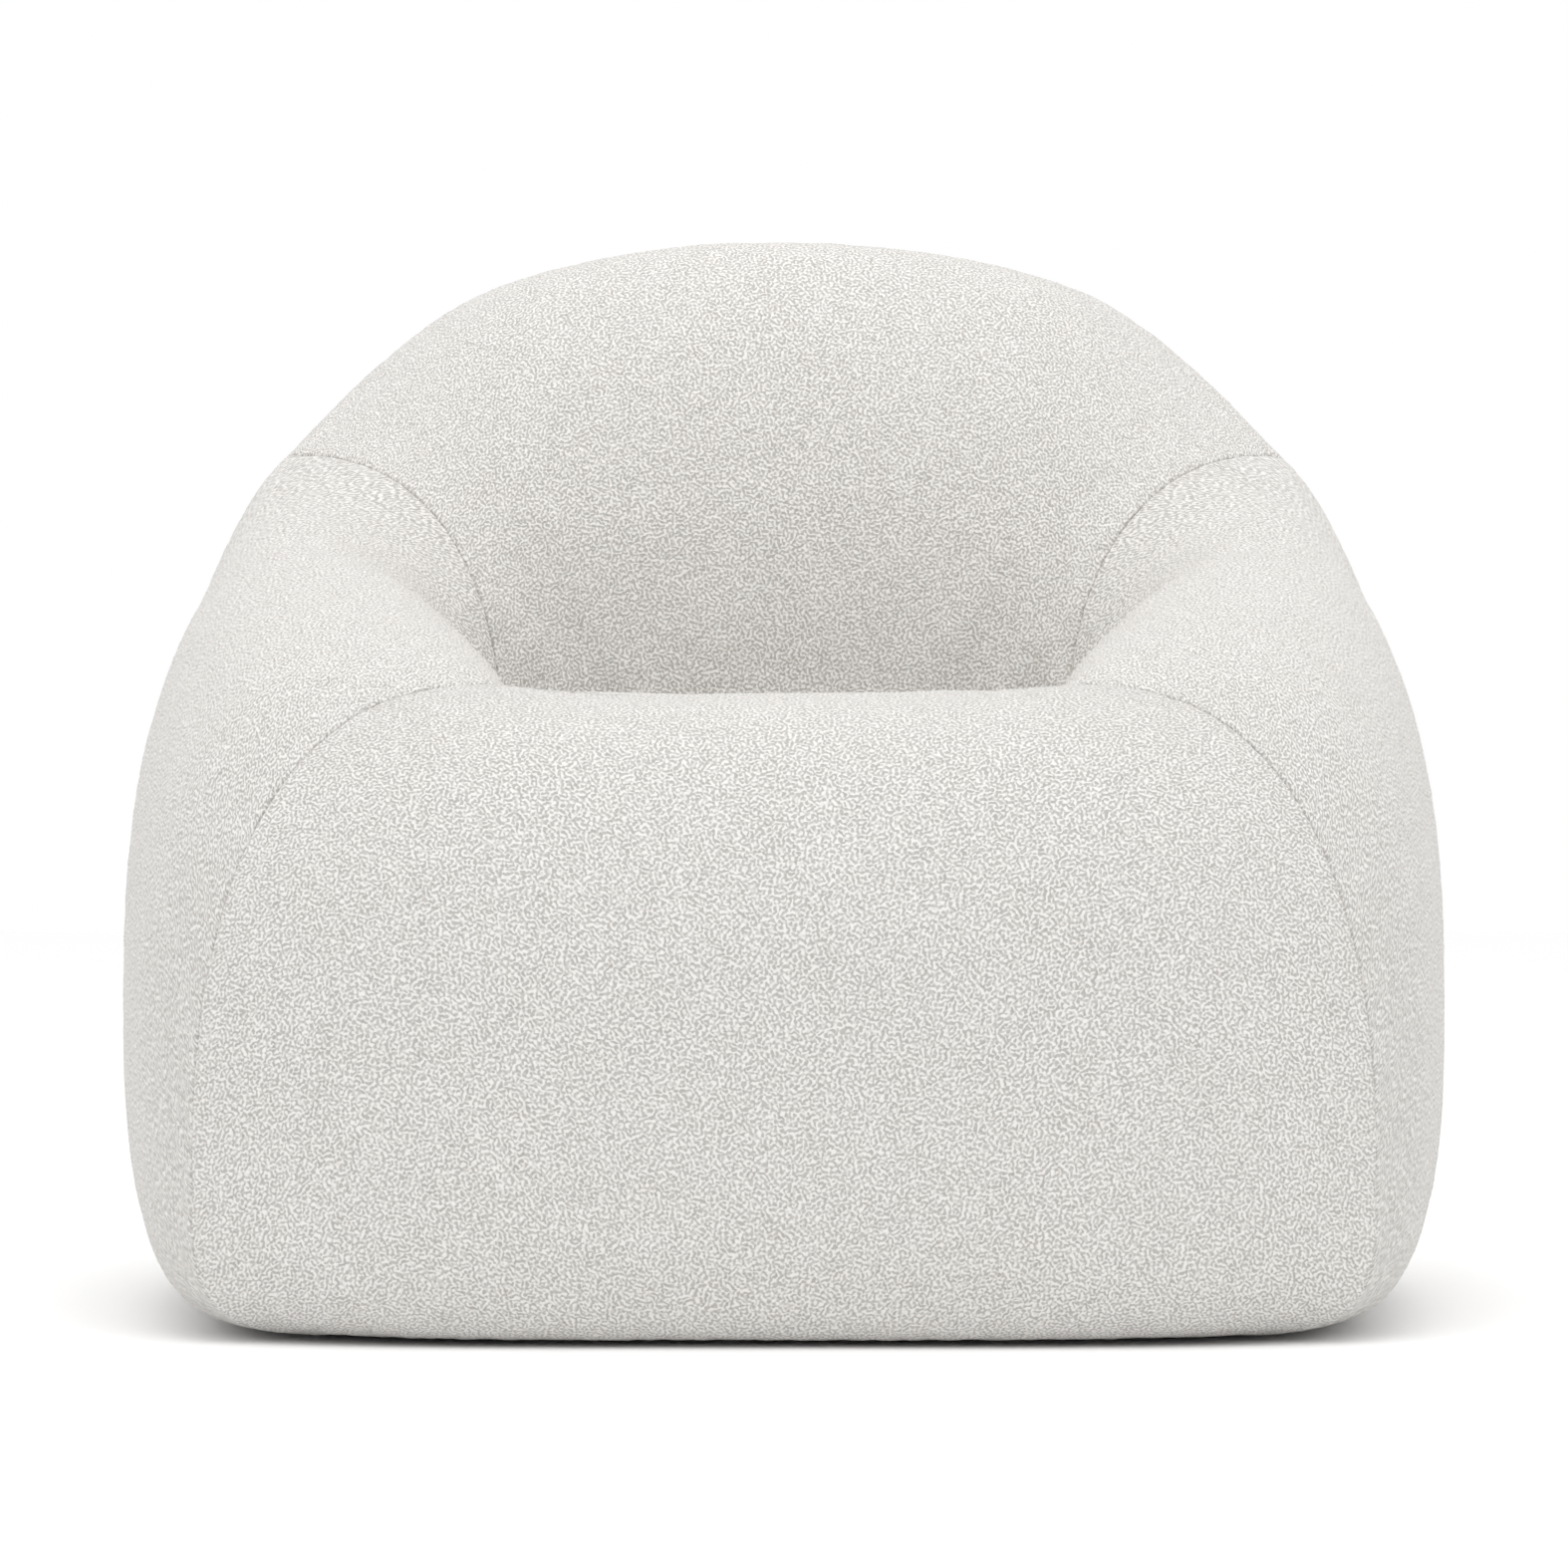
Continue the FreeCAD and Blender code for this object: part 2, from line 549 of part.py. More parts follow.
def make_base():
    ring = flat_plate(outline(BASE_INSET), BASE_Z, BASE_TOP)
    hatch = box(-HATCH_X, HATCH_X, HATCH_FRONT, HATCH_REAR, BASE_Z - 1, BASE_TOP + 1)
    corners = [e for e in hatch.Edges if abs(e.Vertexes[0].Z - e.Vertexes[1].Z) > PLY]
    save("base_ring", ring.cut(hatch.makeFillet(HATCH_CORNER, corners)))
    for side_name, side in SIDES:
        outer, inner = side * BOX_X, side * (BOX_X - POST)
        low, high = min(outer, inner), max(outer, inner)
        for end, y in (("front", BOX_FRONT), ("rear", BOX_REAR - POST)):
            post = box(low, high, y, y + POST, BASE_TOP + FIT, RAIL_TOP)
            save("%s_%s_post" % (side_name, end), post)
        rail_low, rail_high = sorted((side * BOX_X, side * (BOX_X - RAIL)))
        save("%s_seat_rail" % side_name, box(rail_low, rail_high, BOX_FRONT + POST + JOINT_PLAY,
                                             BOX_REAR - POST - JOINT_PLAY, RAIL_BOTTOM, RAIL_TOP))
    span = BOX_X - POST - JOINT_PLAY
    save("front_seat_rail", box(-span, span, BOX_FRONT, BOX_FRONT + RAIL, RAIL_BOTTOM, RAIL_TOP))
    save("rear_seat_rail", box(-span, span, BOX_REAR - RAIL, BOX_REAR, RAIL_BOTTOM, RAIL_TOP))
    reach = BOX_X - RAIL - JOINT_PLAY
    save("centre_brace", box(-reach, reach, BRACE_FRONT, BRACE_FRONT + RAIL, BRACE_BOTTOM, BRACE_TOP))


def zigzag(x, y0, y1):
    """The centre line of a sinuous spring: runs across, joined by half circles."""
    runs = int((y1 - y0) / (2 * SPRING_BEND))
    start = (y0 + y1) / 2 - runs * SPRING_BEND
    edges, direction = [], 1.0
    for i in range(runs + 1):
        y = start + i * 2 * SPRING_BEND
        a, b = V(x - direction * SPRING_HALF, y, SPRING_Z), V(x + direction * SPRING_HALF, y, SPRING_Z)
        edges.append(Part.LineSegment(a, b).toShape())
        if i < runs:
            middle = V(b.x + direction * SPRING_BEND, y + SPRING_BEND, SPRING_Z)
            end = V(b.x, y + 2 * SPRING_BEND, SPRING_Z)
            edges.append(Part.Arc(b, middle, end).toShape())
        direction = -direction
    return Part.Wire(edges), start, start + runs * 2 * SPRING_BEND


def make_seat_suspension():
    clips = []
    for number, x in enumerate(SPRING_X, 1):
        path, first_y, last_y = zigzag(x, BOX_FRONT + SPRING_END, BOX_REAR - SPRING_END)
        start = path.Edges[0].Vertexes[0].Point
        profile = Part.Wire([Part.makeCircle(SPRING_WIRE / 2, start, V(1, 0, 0))])
        save("seat_spring_%d" % number, path.makePipeShell([profile], True, True))
        for y in (first_y, last_y):
            clips.append(spring_clip(x, y))
    save("spring_clips", Part.Compound(clips))
    z = SPRING_Z + SPRING_WIRE / 2 + TIE_WIRE / 2 + WIRE_PLAY
    length = SPRING_X[-1] - SPRING_X[0] + 2 * TIE_OVERHANG
    wires = [Part.makeCylinder(TIE_WIRE / 2, length, V(-length / 2, y, z), V(1, 0, 0)) for y in TIE_PLACES]
    save("tie_wires", Part.Compound(wires))
    pad_z = z + TIE_WIRE / 2 + PAD_PLAY
    save("spring_pad", box(-PAD_X, PAD_X, PAD_FRONT, PAD_REAR, pad_z, pad_z + PAD_THICK))


def spring_clip(x, y):
    """A folded steel clip: a foot on the rail, a bend, and a lip over the wire."""
    low, high = RAIL_TOP + CLIP_SEAT, SPRING_Z + SPRING_WIRE / 2 + CLIP_PLAY
    left, right, front = x - CLIP_WIDE / 2, x + CLIP_WIDE / 2, y - CLIP_REACH
    foot = box(left, right, front, y + CLIP_REACH, low, low + CLIP_SHEET)
    lip = box(left, right, front, y + CLIP_REACH / 2, high, high + CLIP_SHEET)
    bend = box(left, right, front, front + CLIP_SHEET, low, high + CLIP_SHEET)
    return foot.fuse(lip).fuse(bend)


def make_underside():
    places = [(side * x, y) for _, side in SIDES for x, y in GLIDE_PLACES]
    dust = flat_plate(outline(DUST_INSET), DUST_Z, DUST_Z + DUST_THICK)
    nails = []
    names = ("left_front_glide", "left_rear_glide", "right_front_glide", "right_rear_glide")
    for name, (x, y) in zip(names, places):
        head = cylinder(NAIL_HEAD_R, x, y, NAIL_HEAD[0], NAIL_HEAD[1])
        nail = head.fuse(cylinder(NAIL_R, x, y, NAIL_HEAD[1], BASE_TOP - NAIL_STOP))
        nails.append(nail)
        glide = cylinder(GLIDE_R, x, y, 0.0, DUST_Z - GLIDE_PLAY)
        rims = [e for e in glide.Edges if e.Closed and abs(e.Vertexes[0].Z) < 1e-6]
        save(name, glide.makeChamfer(GLIDE_CHAMFER, rims).cut(nail))
        dust = dust.cut(cylinder(NAIL_R, x, y, 0.0, BASE_TOP))
        parts["base_ring"] = parts["base_ring"].cut(cylinder(NAIL_R, x, y, 0.0, BASE_TOP - NAIL_STOP))
    save("glide_nails", Part.Compound(nails))
    save("dust_cover", dust)
    save("dust_cover_staples", Part.Compound(staples()))


def staples():
    """Staple crowns around the edge of the dust cover."""
    points = outline(DUST_INSET + STAPLE_INSET)
    curve = Part.BSplineCurve()
    curve.interpolate([V(p.x, p.y, 0) for p in points], True)
    made = []
    length = curve.length()
    for i in range(STAPLE_COUNT):
        place = curve.parameterAtDistance(length * i / STAPLE_COUNT, curve.FirstParameter)
        at, along = curve.value(place), curve.tangent(place)[0]
        crown = Part.makeBox(STAPLE[0], STAPLE[1], STAPLE[2], V(-STAPLE[0] / 2, -STAPLE[1] / 2, 0))
        crown.rotate(V(0, 0, 0), V(0, 0, 1), math.degrees(math.atan2(along.y, along.x)))
        crown.translate(V(at.x, at.y, DUST_Z - STAPLE[2] - STAPLE_PLAY))
        made.append(crown)
    return made


def make_screws():
    """Countersunk screws up through the base ring into the ribs and posts, with their holes."""
    screws = []
    for name, shape in list(parts.items()):
        if not name.endswith(("_rib", "_post")):
            continue
        for x, y in screw_places(shape, name.endswith("_post")):
            shaft = cylinder(SCREW_R, x, y, BASE_Z + SCREW_HEAD_H, BASE_TOP + SCREW_REACH)
            head = Part.makeCone(SCREW_HEAD_R, SCREW_R, SCREW_HEAD_H, V(x, y, BASE_Z), V(0, 0, 1))
            screw = shaft.fuse(head)
            screws.append(screw)
            parts["base_ring"] = parts["base_ring"].cut(screw)
            parts[name] = parts[name].cut(screw)
    save("frame_screws", Part.Compound(screws))


def screw_places(shape, one):
    """Where the screws go under a rib or post: one in the middle, or two spread along the foot."""
    foot = [f for f in shape.Faces if abs(f.CenterOfMass.z - BASE_TOP - FIT) < 0.05]
    middle = foot[0].CenterOfMass
    if one:
        return [(middle.x, middle.y)]
    ends = [v.Point for v in foot[0].Vertexes]
    far = max(ends, key=lambda p: (p - middle).Length)
    reach = far - middle
    return [(middle.x + k * reach.x * 0.5, middle.y + k * reach.y * 0.5) for k in (-1, 1)]


make_soft_layers()
make_boards()
make_hoop()
make_ribs()
make_base()
make_seat_suspension()
make_underside()
make_screws()

os.makedirs("parts", exist_ok=True)
for name, shape in parts.items():
    shape.exportStep(os.path.join("parts", name + ".step"))
    print("%-26s solids %2d valid %s volume %.0f cm3" % (name, len(shape.Solids), shape.isValid(),
                                                         shape.Volume / 1000.0))
print(len(parts), "nodes")
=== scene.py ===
import functools
import json
import math

import bpy
import numpy as np
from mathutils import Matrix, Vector


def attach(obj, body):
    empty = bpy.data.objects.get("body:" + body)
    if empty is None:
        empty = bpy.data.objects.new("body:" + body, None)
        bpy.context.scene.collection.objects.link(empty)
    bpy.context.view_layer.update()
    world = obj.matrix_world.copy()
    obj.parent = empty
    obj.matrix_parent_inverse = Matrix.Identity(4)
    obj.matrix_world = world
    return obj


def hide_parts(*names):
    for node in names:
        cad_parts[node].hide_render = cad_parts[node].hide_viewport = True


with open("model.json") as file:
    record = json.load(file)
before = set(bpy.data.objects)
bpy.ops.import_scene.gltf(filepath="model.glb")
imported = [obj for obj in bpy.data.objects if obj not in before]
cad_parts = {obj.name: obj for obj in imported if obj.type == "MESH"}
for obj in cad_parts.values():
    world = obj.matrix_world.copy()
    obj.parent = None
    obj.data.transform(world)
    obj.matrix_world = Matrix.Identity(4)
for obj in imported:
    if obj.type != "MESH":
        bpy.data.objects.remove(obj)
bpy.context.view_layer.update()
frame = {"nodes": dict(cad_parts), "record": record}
scene = bpy.context.scene

# Upholstered tub armchair, in metres: +Z up, the chair faces -Y. The cover is drawn with the same
# sections as the CAD body. Each section stands on a page that runs from the inner crease out to the
# chair's outline, and the pages fan round from the middle of the back to the front seam.

MM = 0.001

# ---------------------------------------------------------------- the body's shape, as in the CAD
HALF_WIDTH, BACK_HEIGHT, BACK_Y, FRONT_Y = 496.0, 831.0, 450.0, -450.0
SEAT_CROWN, SEAT_REAR = 467.0 * MM, 415.0
# in millimetres: inner crease x and y, outline x and y, crease height, rim's share of the width,
# rim height, widest height, roundness outside and inside
STATIONS = np.array([
    (0.0, 165.0, 0.0, BACK_Y, SEAT_REAR, 0.52, BACK_HEIGHT, 270.0, 2.60, 2.45),
    (148.0, 151.0, 294.0, 404.0, 417.0, 0.60, 793.0, 270.0, 2.60, 2.4),
    (221.0, 110.0, 453.0, 254.0, 422.0, 0.73, 655.0, 270.0, 2.25, 2.2),
    (252.0, 30.0, 491.0, 98.0, 428.0, 0.54, 590.0, 270.0, 2.50, 2.0),
    (224.0, -70.0, HALF_WIDTH, -60.0, 436.0, 0.46, 558.0, 270.0, 2.55, 2.0),
    (206.0, -165.0, 482.0, -225.0, 446.0, 0.40, 526.0, 250.0, 2.35, 2.0),
    (202.0, -245.0, 460.0, -340.0, 456.0, 0.26, 495.0, 190.0, 2.40, 2.0),
    (206.0, -300.0, 421.0, -395.0, 464.0, 0.03, 468.0, 110.0, 2.45, 2.0),
]) * np.array([MM] * 5 + [1.0] + [MM] * 2 + [1.0] * 2)
BACK_SEAM, FRONT_SEAM = 2.0 / 7.0, 1.0
FOOT_INSET, FOOT_ROUND, WRAP, TUCK = 120.0 * MM, 3.45, 68.0 * MM, 85.0 * MM
FOOT_GAP, HEM_GAP, HEM_RISE = 3.8 * MM, 10.0 * MM, 0.35    # the foot hangs lower than its hem
FRONT_FOOT_INSET = 48.0 * MM
CROWN_Y, FRONT_WIDEST_Z, FRONT_ROUND = -300.0 * MM, 220.0 * MM, 2.35
SEAT_RISE, SEAT_BOW, SEAT_DOME = 1.2, (2.5, 3.2, 5.0), 4.0
SEAT_GAP = 1.5 * MM
SEAT_GAP_FADE, REAR_GAP_FADE = 12.0, 8.0    # how fast the gap closes at the crown and behind


def stations_at(u):
    """The section numbers at each u, on a smooth curve through the stations."""
    last = len(STATIONS) - 1
    mirrored = STATIONS[1] * np.array([-1, 1, -1] + [1] * (STATIONS.shape[1] - 3))
    rows = np.vstack([mirrored, STATIONS, 2 * STATIONS[last] - STATIONS[last - 1]])
    place = np.clip(np.abs(u) * last, 0, last)
    i = np.minimum(place.astype(int), last - 1)
    f = (place - i)[..., None]
    a, b, c, d = (rows[i + k] for k in range(4))
    slope_b, slope_c = (c - a) / 2, (d - b) / 2
    f2, f3 = f * f, f * f * f
    numbers = (b * (2 * f3 - 3 * f2 + 1) + slope_b * (f3 - 2 * f2 + f)
               + c * (3 * f2 - 2 * f3) + slope_c * (f3 - f2))
    return np.moveaxis(numbers, -1, 0)


def smoothstep(x):
    x = np.clip(x, 0, 1)
    return x * x * (3 - 2 * x)


def round_arc(share, roundness):
    """A quarter of a rounded box: 1, 0 at share 0 and 0, 1 at share 1."""
    angle = np.clip(share, 0, 1) * math.pi / 2
    power = 2 / roundness
    return np.maximum(np.cos(angle), 0) ** power, np.maximum(np.sin(angle), 0) ** power


def hem_height(s):
    return FOOT_GAP + (HEM_GAP - FOOT_GAP) * smoothstep((s - 3) / HEM_RISE)


def ring_point(u, s, side=1.0):
    """The skin of the arms and back.

    s runs to 0 beside the seat, to 1 up the inside, to 2 over the rim, to 3 at the foot, to 4 under
    the base.
    """
    u, s = np.broadcast_arrays(u, s)
    (inner_x, inner_y, outer_x, outer_y, crease, rim_share, rim, widest,
     outside, inside) = stations_at(u)
    width = np.hypot(outer_x - inner_x, outer_y - inner_y)
    rim_out = rim_share * width
    c1, q1 = round_arc(s, inside)
    c2, q2 = round_arc(s - 1, outside)
    c3, q3 = round_arc(s - 2, FOOT_ROUND)
    stretch = [s <= 0, s <= 1, s <= 2, s <= 3]
    out = np.select(stretch, [0 * s,
                              rim_out - rim_out * c1,
                              rim_out + (width - rim_out) * q2,
                              width - FOOT_INSET + FOOT_INSET * c3],
                    width - FOOT_INSET - (s - 3) * WRAP)
    height = np.select(stretch, [crease + s * TUCK,
                                 crease + (rim - crease) * q1,
                                 widest + (rim - widest) * c2,
                                 widest - (widest - FOOT_GAP) * q3],
                       hem_height(s))
    mirror = np.where(u >= 0, side, -side)
    x = inner_x + (outer_x - inner_x) / width * out
    y = inner_y + (outer_y - inner_y) / width * out
    return np.stack([mirror * x, y, height], -1)


def front_point(v, s):
    """The skin of the seat and front, with v from -1 to 1 across.

    s runs to 1 over the seat, to 2 down the front edge, to 3 at the foot, to 4 under.
    """
    v, s = np.broadcast_arrays(v, s)
    rear_y, front_y = STATIONS[0][1], FRONT_Y * MM
    on_seat = s <= 1
    rise = np.sin(np.clip(s, 0, 1) * math.pi / 2) ** SEAT_RISE
    c2, q2 = round_arc(s - 1, FRONT_ROUND)
    c3, q3 = round_arc(s - 2, FOOT_ROUND)
    rear_z = SEAT_REAR * MM
    stretch = [on_seat, s <= 2, s <= 3]
    hem_run = FOOT_INSET - FRONT_FOOT_INSET + WRAP
    middle_y = np.select(stretch, [rear_y + (CROWN_Y - rear_y) * s,
                                   CROWN_Y + (front_y - CROWN_Y) * q2,
                                   front_y + FRONT_FOOT_INSET * (1 - c3)],
                         front_y + FRONT_FOOT_INSET + (s - 3) * hem_run)
    middle_z = np.select(stretch, [rear_z + (SEAT_CROWN - rear_z) * rise,
                                   FRONT_WIDEST_Z + (SEAT_CROWN - FRONT_WIDEST_Z) * c2,
                                   FRONT_WIDEST_Z - (FRONT_WIDEST_Z - FOOT_GAP) * q3],
                         hem_height(s))
    crease = stations_at(BACK_SEAM + (FRONT_SEAM - BACK_SEAM) * np.clip(s, 0, 1))
    seam = ring_point(FRONT_SEAM + 0 * s, np.maximum(s, 1.0))
    edge_x = np.where(on_seat, crease[0], seam[..., 0])
    edge_y = np.where(on_seat, crease[1], seam[..., 1])
    edge_z = np.where(on_seat, crease[4], seam[..., 2])
    bow = np.where(on_seat, SEAT_BOW[0] + (SEAT_BOW[1] - SEAT_BOW[0]) * s,
                   SEAT_BOW[1] + (SEAT_BOW[2] - SEAT_BOW[1]) * np.clip(s - 1, 0, 1))
    dome = np.where(on_seat, SEAT_DOME, bow)
    across = np.abs(v)
    fade = np.clip((1 - s) * SEAT_GAP_FADE, 0, 1)
    rear = np.clip(1 - s * REAR_GAP_FADE, 0, 1)
    return np.stack([v * (edge_x - SEAT_GAP * fade),
                     edge_y + (middle_y - edge_y) * (1 - across ** bow) - SEAT_GAP * rear,
                     edge_z + (middle_z - edge_z) * (1 - across ** dome)], -1)


# ---------------------------------------------------------------- noise and grids
# large primes that scatter the cells, and the bits that pick a direction
HASH = (73856093, 19349663, 83492791, 2654435761, 1274126177)
DIRECTION = 0xFFF
NOISE_REACH = 1.6


def gradient_noise(points, seed):
    """Smooth noise from about -1 to 1, one unit between its cells."""
    cell = np.floor(points).astype(np.int64)
    part = points - cell
    ease = part * part * part * (part * (part * 6 - 15) + 10)
    total = np.zeros(points.shape[:-1])
    for corner in np.ndindex(2, 2, 2):
        at = cell + corner
        h = seed * HASH[3]
        for axis in range(3):
            h = h ^ (at[..., axis] * HASH[axis])
        h = (h ^ (h >> 13)) * HASH[4]
        h = (h ^ (h >> 16)) & 0xFFFFFF
        turn = (h & DIRECTION) * (2 * math.pi / (DIRECTION + 1))
        lift = ((h >> 12) & DIRECTION) / (DIRECTION / 2) - 1
        flat = np.sqrt(np.maximum(1 - lift * lift, 0))
        away = part - corner
        dot = (away[..., 0] * flat * np.cos(turn) + away[..., 1] * flat * np.sin(turn)
               + away[..., 2] * lift)
        weight = np.prod(np.where(np.array(corner) == 1, ease, 1 - ease), -1)
        total += weight * dot
    return total * NOISE_REACH


DENSE_ACROSS, DENSE_ALONG, LEVELS = 900, 2400, 13    # samples that measure a panel's lengths


def walked(points, axis):
    """Distance walked along the grid's lines."""
    step = np.linalg.norm(np.diff(points, axis=axis), axis=-1)
    start = np.zeros_like(np.take(step, [0], axis))
    return np.concatenate([start, np.cumsum(step, axis)], axis)


def graded(length, spacing, near):
    """Distances from 0 to length, closer together at both ends where near is given."""
    ends = [d for d in near if d < length / 3]
    first = ends[-1] if ends else 0.0
    count = max(2, int(round((length - 2 * first) / spacing)))
    middle = np.linspace(first, length - first, count + 1)
    return np.concatenate([ends[:-1], middle, [length - d for d in reversed(ends[:-1])]])


def panel_grid(point, across, along, spacing, near_across=(), near_along=()):
    """Rows of points with even steps over a panel, as values of its two parameters."""
    dense = np.linspace(across[0], across[1], DENSE_ACROSS)
    levels = np.linspace(along[0], along[1], LEVELS)[1:-1]
    lengths = walked(point(dense[:, None], levels[None, :]), 0).mean(1)
    us = np.interp(graded(lengths[-1], spacing, near_across), lengths, dense)
    fine = np.linspace(along[0], along[1], DENSE_ALONG)
    run = walked(point(us[:, None], fine[None, :]), 1)
    mean_length = run[:, -1].mean()
    shares = graded(mean_length, spacing, near_along) / mean_length
    ss = np.stack([np.interp(shares * r[-1], r, fine) for r in run])
    return us[:, None] + 0 * ss, ss


def weave_places(points):
    """Where each point lies on its flat fabric, in metres from the middle line and from one end."""
    across = walked(points, 0)
    across -= across[points.shape[0] // 2]
    return np.stack([across, walked(points, 1), np.zeros(points.shape[:2])], -1)


def faces_inward(points, normals):
    """Whether the grid's faces, as grid_faces winds them, look the other way from these normals."""
    i, j = points.shape[0] // 2, points.shape[1] // 2
    turn = np.cross(points[i + 1, j] - points[i, j], points[i, j + 1] - points[i, j])
    return bool(turn @ normals[i, j] < 0)


def outward(points, towards):
    """Unit normals of a grid, on the side that towards gives for its middle."""
    normal = np.cross(np.gradient(points, axis=0), np.gradient(points, axis=1))
    length = np.linalg.norm(normal, axis=-1, keepdims=True)
    normal /= np.maximum(length, 1e-12)
    i, j = points.shape[0] // 2, int(points.shape[1] * towards[0])
    return normal if normal[i, j] @ np.array(towards[1]) > 0 else -normal


def grid_faces(rows, columns, flip):
    """Four-sided faces over a grid of points."""
    i, j = np.meshgrid(np.arange(rows - 1), np.arange(columns - 1), indexing="ij")
    a = (i * columns + j).ravel()
    faces = np.stack([a, a + columns, a + columns + 1, a + 1], -1)
    return faces[:, ::-1] if flip else faces


def grid_object(name, points, flip):
    rows, columns = points.shape[:2]
    mesh = bpy.data.meshes.new(name)
    mesh.from_pydata(points.reshape(-1, 3).tolist(), [], grid_faces(rows, columns, flip).tolist())
    obj = bpy.data.objects.new(name, mesh)
    scene.collection.objects.link(obj)
    return obj


# ---------------------------------------------------------------- cloth
CLOTH_SPACING = 15.0 * MM
CLOTH_FRAMES = 20
CLOTH = {"quality": 6, "mass": 0.3, "tension_stiffness": 25.0, "compression_stiffness": 12.0,
         "shear_stiffness": 6.0, "bending_stiffness": 1.2, "use_pressure": True,
         "uniform_pressure_force": 1.0, "shrink_min": -0.003}
MOST_MOVE = 12.0 * MM


def settle(points, normals, held):
    """Blow a sheet up over its filling with cloth simulation. Returns how each point moves."""
    obj = grid_object("settling", points, faces_inward(points, normals))
    group = obj.vertex_groups.new(name="held")
    group.add(np.flatnonzero(held.ravel()).tolist(), 1.0, "REPLACE")
    cloth = obj.modifiers.new("cloth", "CLOTH")
    for key, value in CLOTH.items():
        setattr(cloth.settings, key, value)
    cloth.settings.vertex_group_mass = "held"
    cloth.settings.effector_weights.gravity = 0.0
    cloth.point_cache.frame_start = 1
    cloth.point_cache.frame_end = CLOTH_FRAMES
    for number in range(1, CLOTH_FRAMES + 1):
        scene.frame_set(number)
    shaped = obj.evaluated_get(bpy.context.evaluated_depsgraph_get()).to_mesh()
    found = np.empty(len(shaped.vertices) * 3)
    shaped.vertices.foreach_get("co", found)
    bpy.data.objects.remove(obj)
    scene.frame_set(1)
    move = found.reshape(points.shape) - points
    length = np.linalg.norm(move, axis=-1, keepdims=True)
    return move * np.minimum(1, MOST_MOVE / np.maximum(length, 1e-9))


# ---------------------------------------------------------------- materials
def new_material(name, roughness, **sockets):
    mat = bpy.data.materials.new(name)
    mat.use_nodes = True
    shader = mat.node_tree.nodes["Principled BSDF"]
    shader.inputs["Roughness"].default_value = roughness
    for label, value in sockets.items():
        shader.inputs[label.replace("_", " ")].default_value = value
    return mat, mat.node_tree, shader


def node(tree, kind, inputs=None, **settings):
    """A new node. Its inputs are plain values or other nodes' outputs."""
    made = tree.nodes.new(kind)
    for key, value in settings.items():
        setattr(made, key, value)
    for key, value in (inputs or {}).items():
        if isinstance(value, bpy.types.NodeSocket):
            tree.links.new(value, made.inputs[key])
        else:
            made.inputs[key].default_value = value
    return made


def maths(tree, operation, a, b=0.0, c=0.0):
    return node(tree, "ShaderNodeMath", {0: a, 1: b, 2: c}, operation=operation).outputs[0]


def mixed(tree, amount, first, second, blend="MIX"):
    made = node(tree, "ShaderNodeMix", {"Factor": amount}, data_type="RGBA", blend_type=blend)
    for index, value in ((6, first), (7, second)):
        if isinstance(value, bpy.types.NodeSocket):
            tree.links.new(value, made.inputs[index])
        else:
            made.inputs[index].default_value = (*value, 1.0)
    return made.outputs[2]


def object_place(tree, scale=(1.0, 1.0, 1.0), shift=(0.0, 0.0, 0.0)):
    place = node(tree, "ShaderNodeTexCoord").outputs["Object"]
    return node(tree, "ShaderNodeMapping",
                {"Vector": place, "Scale": scale, "Location": shift}).outputs[0]


def noise(tree, place, scale, detail=2.0, roughness=0.5):
    inputs = {"Vector": place, "Scale": scale, "Detail": detail, "Roughness": roughness}
    return node(tree, "ShaderNodeTexNoise", inputs).outputs[0]


YARN_SCALE, YARN_WAVES, YARN_EDGES = 205.0, 1.35, (0.37, 0.63)   # looped strands nearly 4 mm apart
YARN_HEIGHT, FLUFF_HEIGHT, LOOPS_HEIGHT = 0.8 * MM, 0.25 * MM, 1.2 * MM
FLUFF_SCALE, LOOPS_SCALE, PATCH_SCALE = 1100.0, 190.0, 22.0
CURL_SCALE, CURL_REACH = 330.0, 3.0 * MM    # the strands wander
# painted shade: the dark colour put into the gaps between strands and under low loops, where shade
# falls
GAP_SHADE_TONE = (0.37, 0.357, 0.338)
YARN_TONE = (0.795, 0.780, 0.757)
PATCH_TONE = (0.95, 0.945, 0.935)
YARN_SHARE, LOOPS_SHARE = 0.75, 0.5     # how far each lifts the colour from the painted gap shade to the yarn tone
BOUCLE_BUMP = 0.7


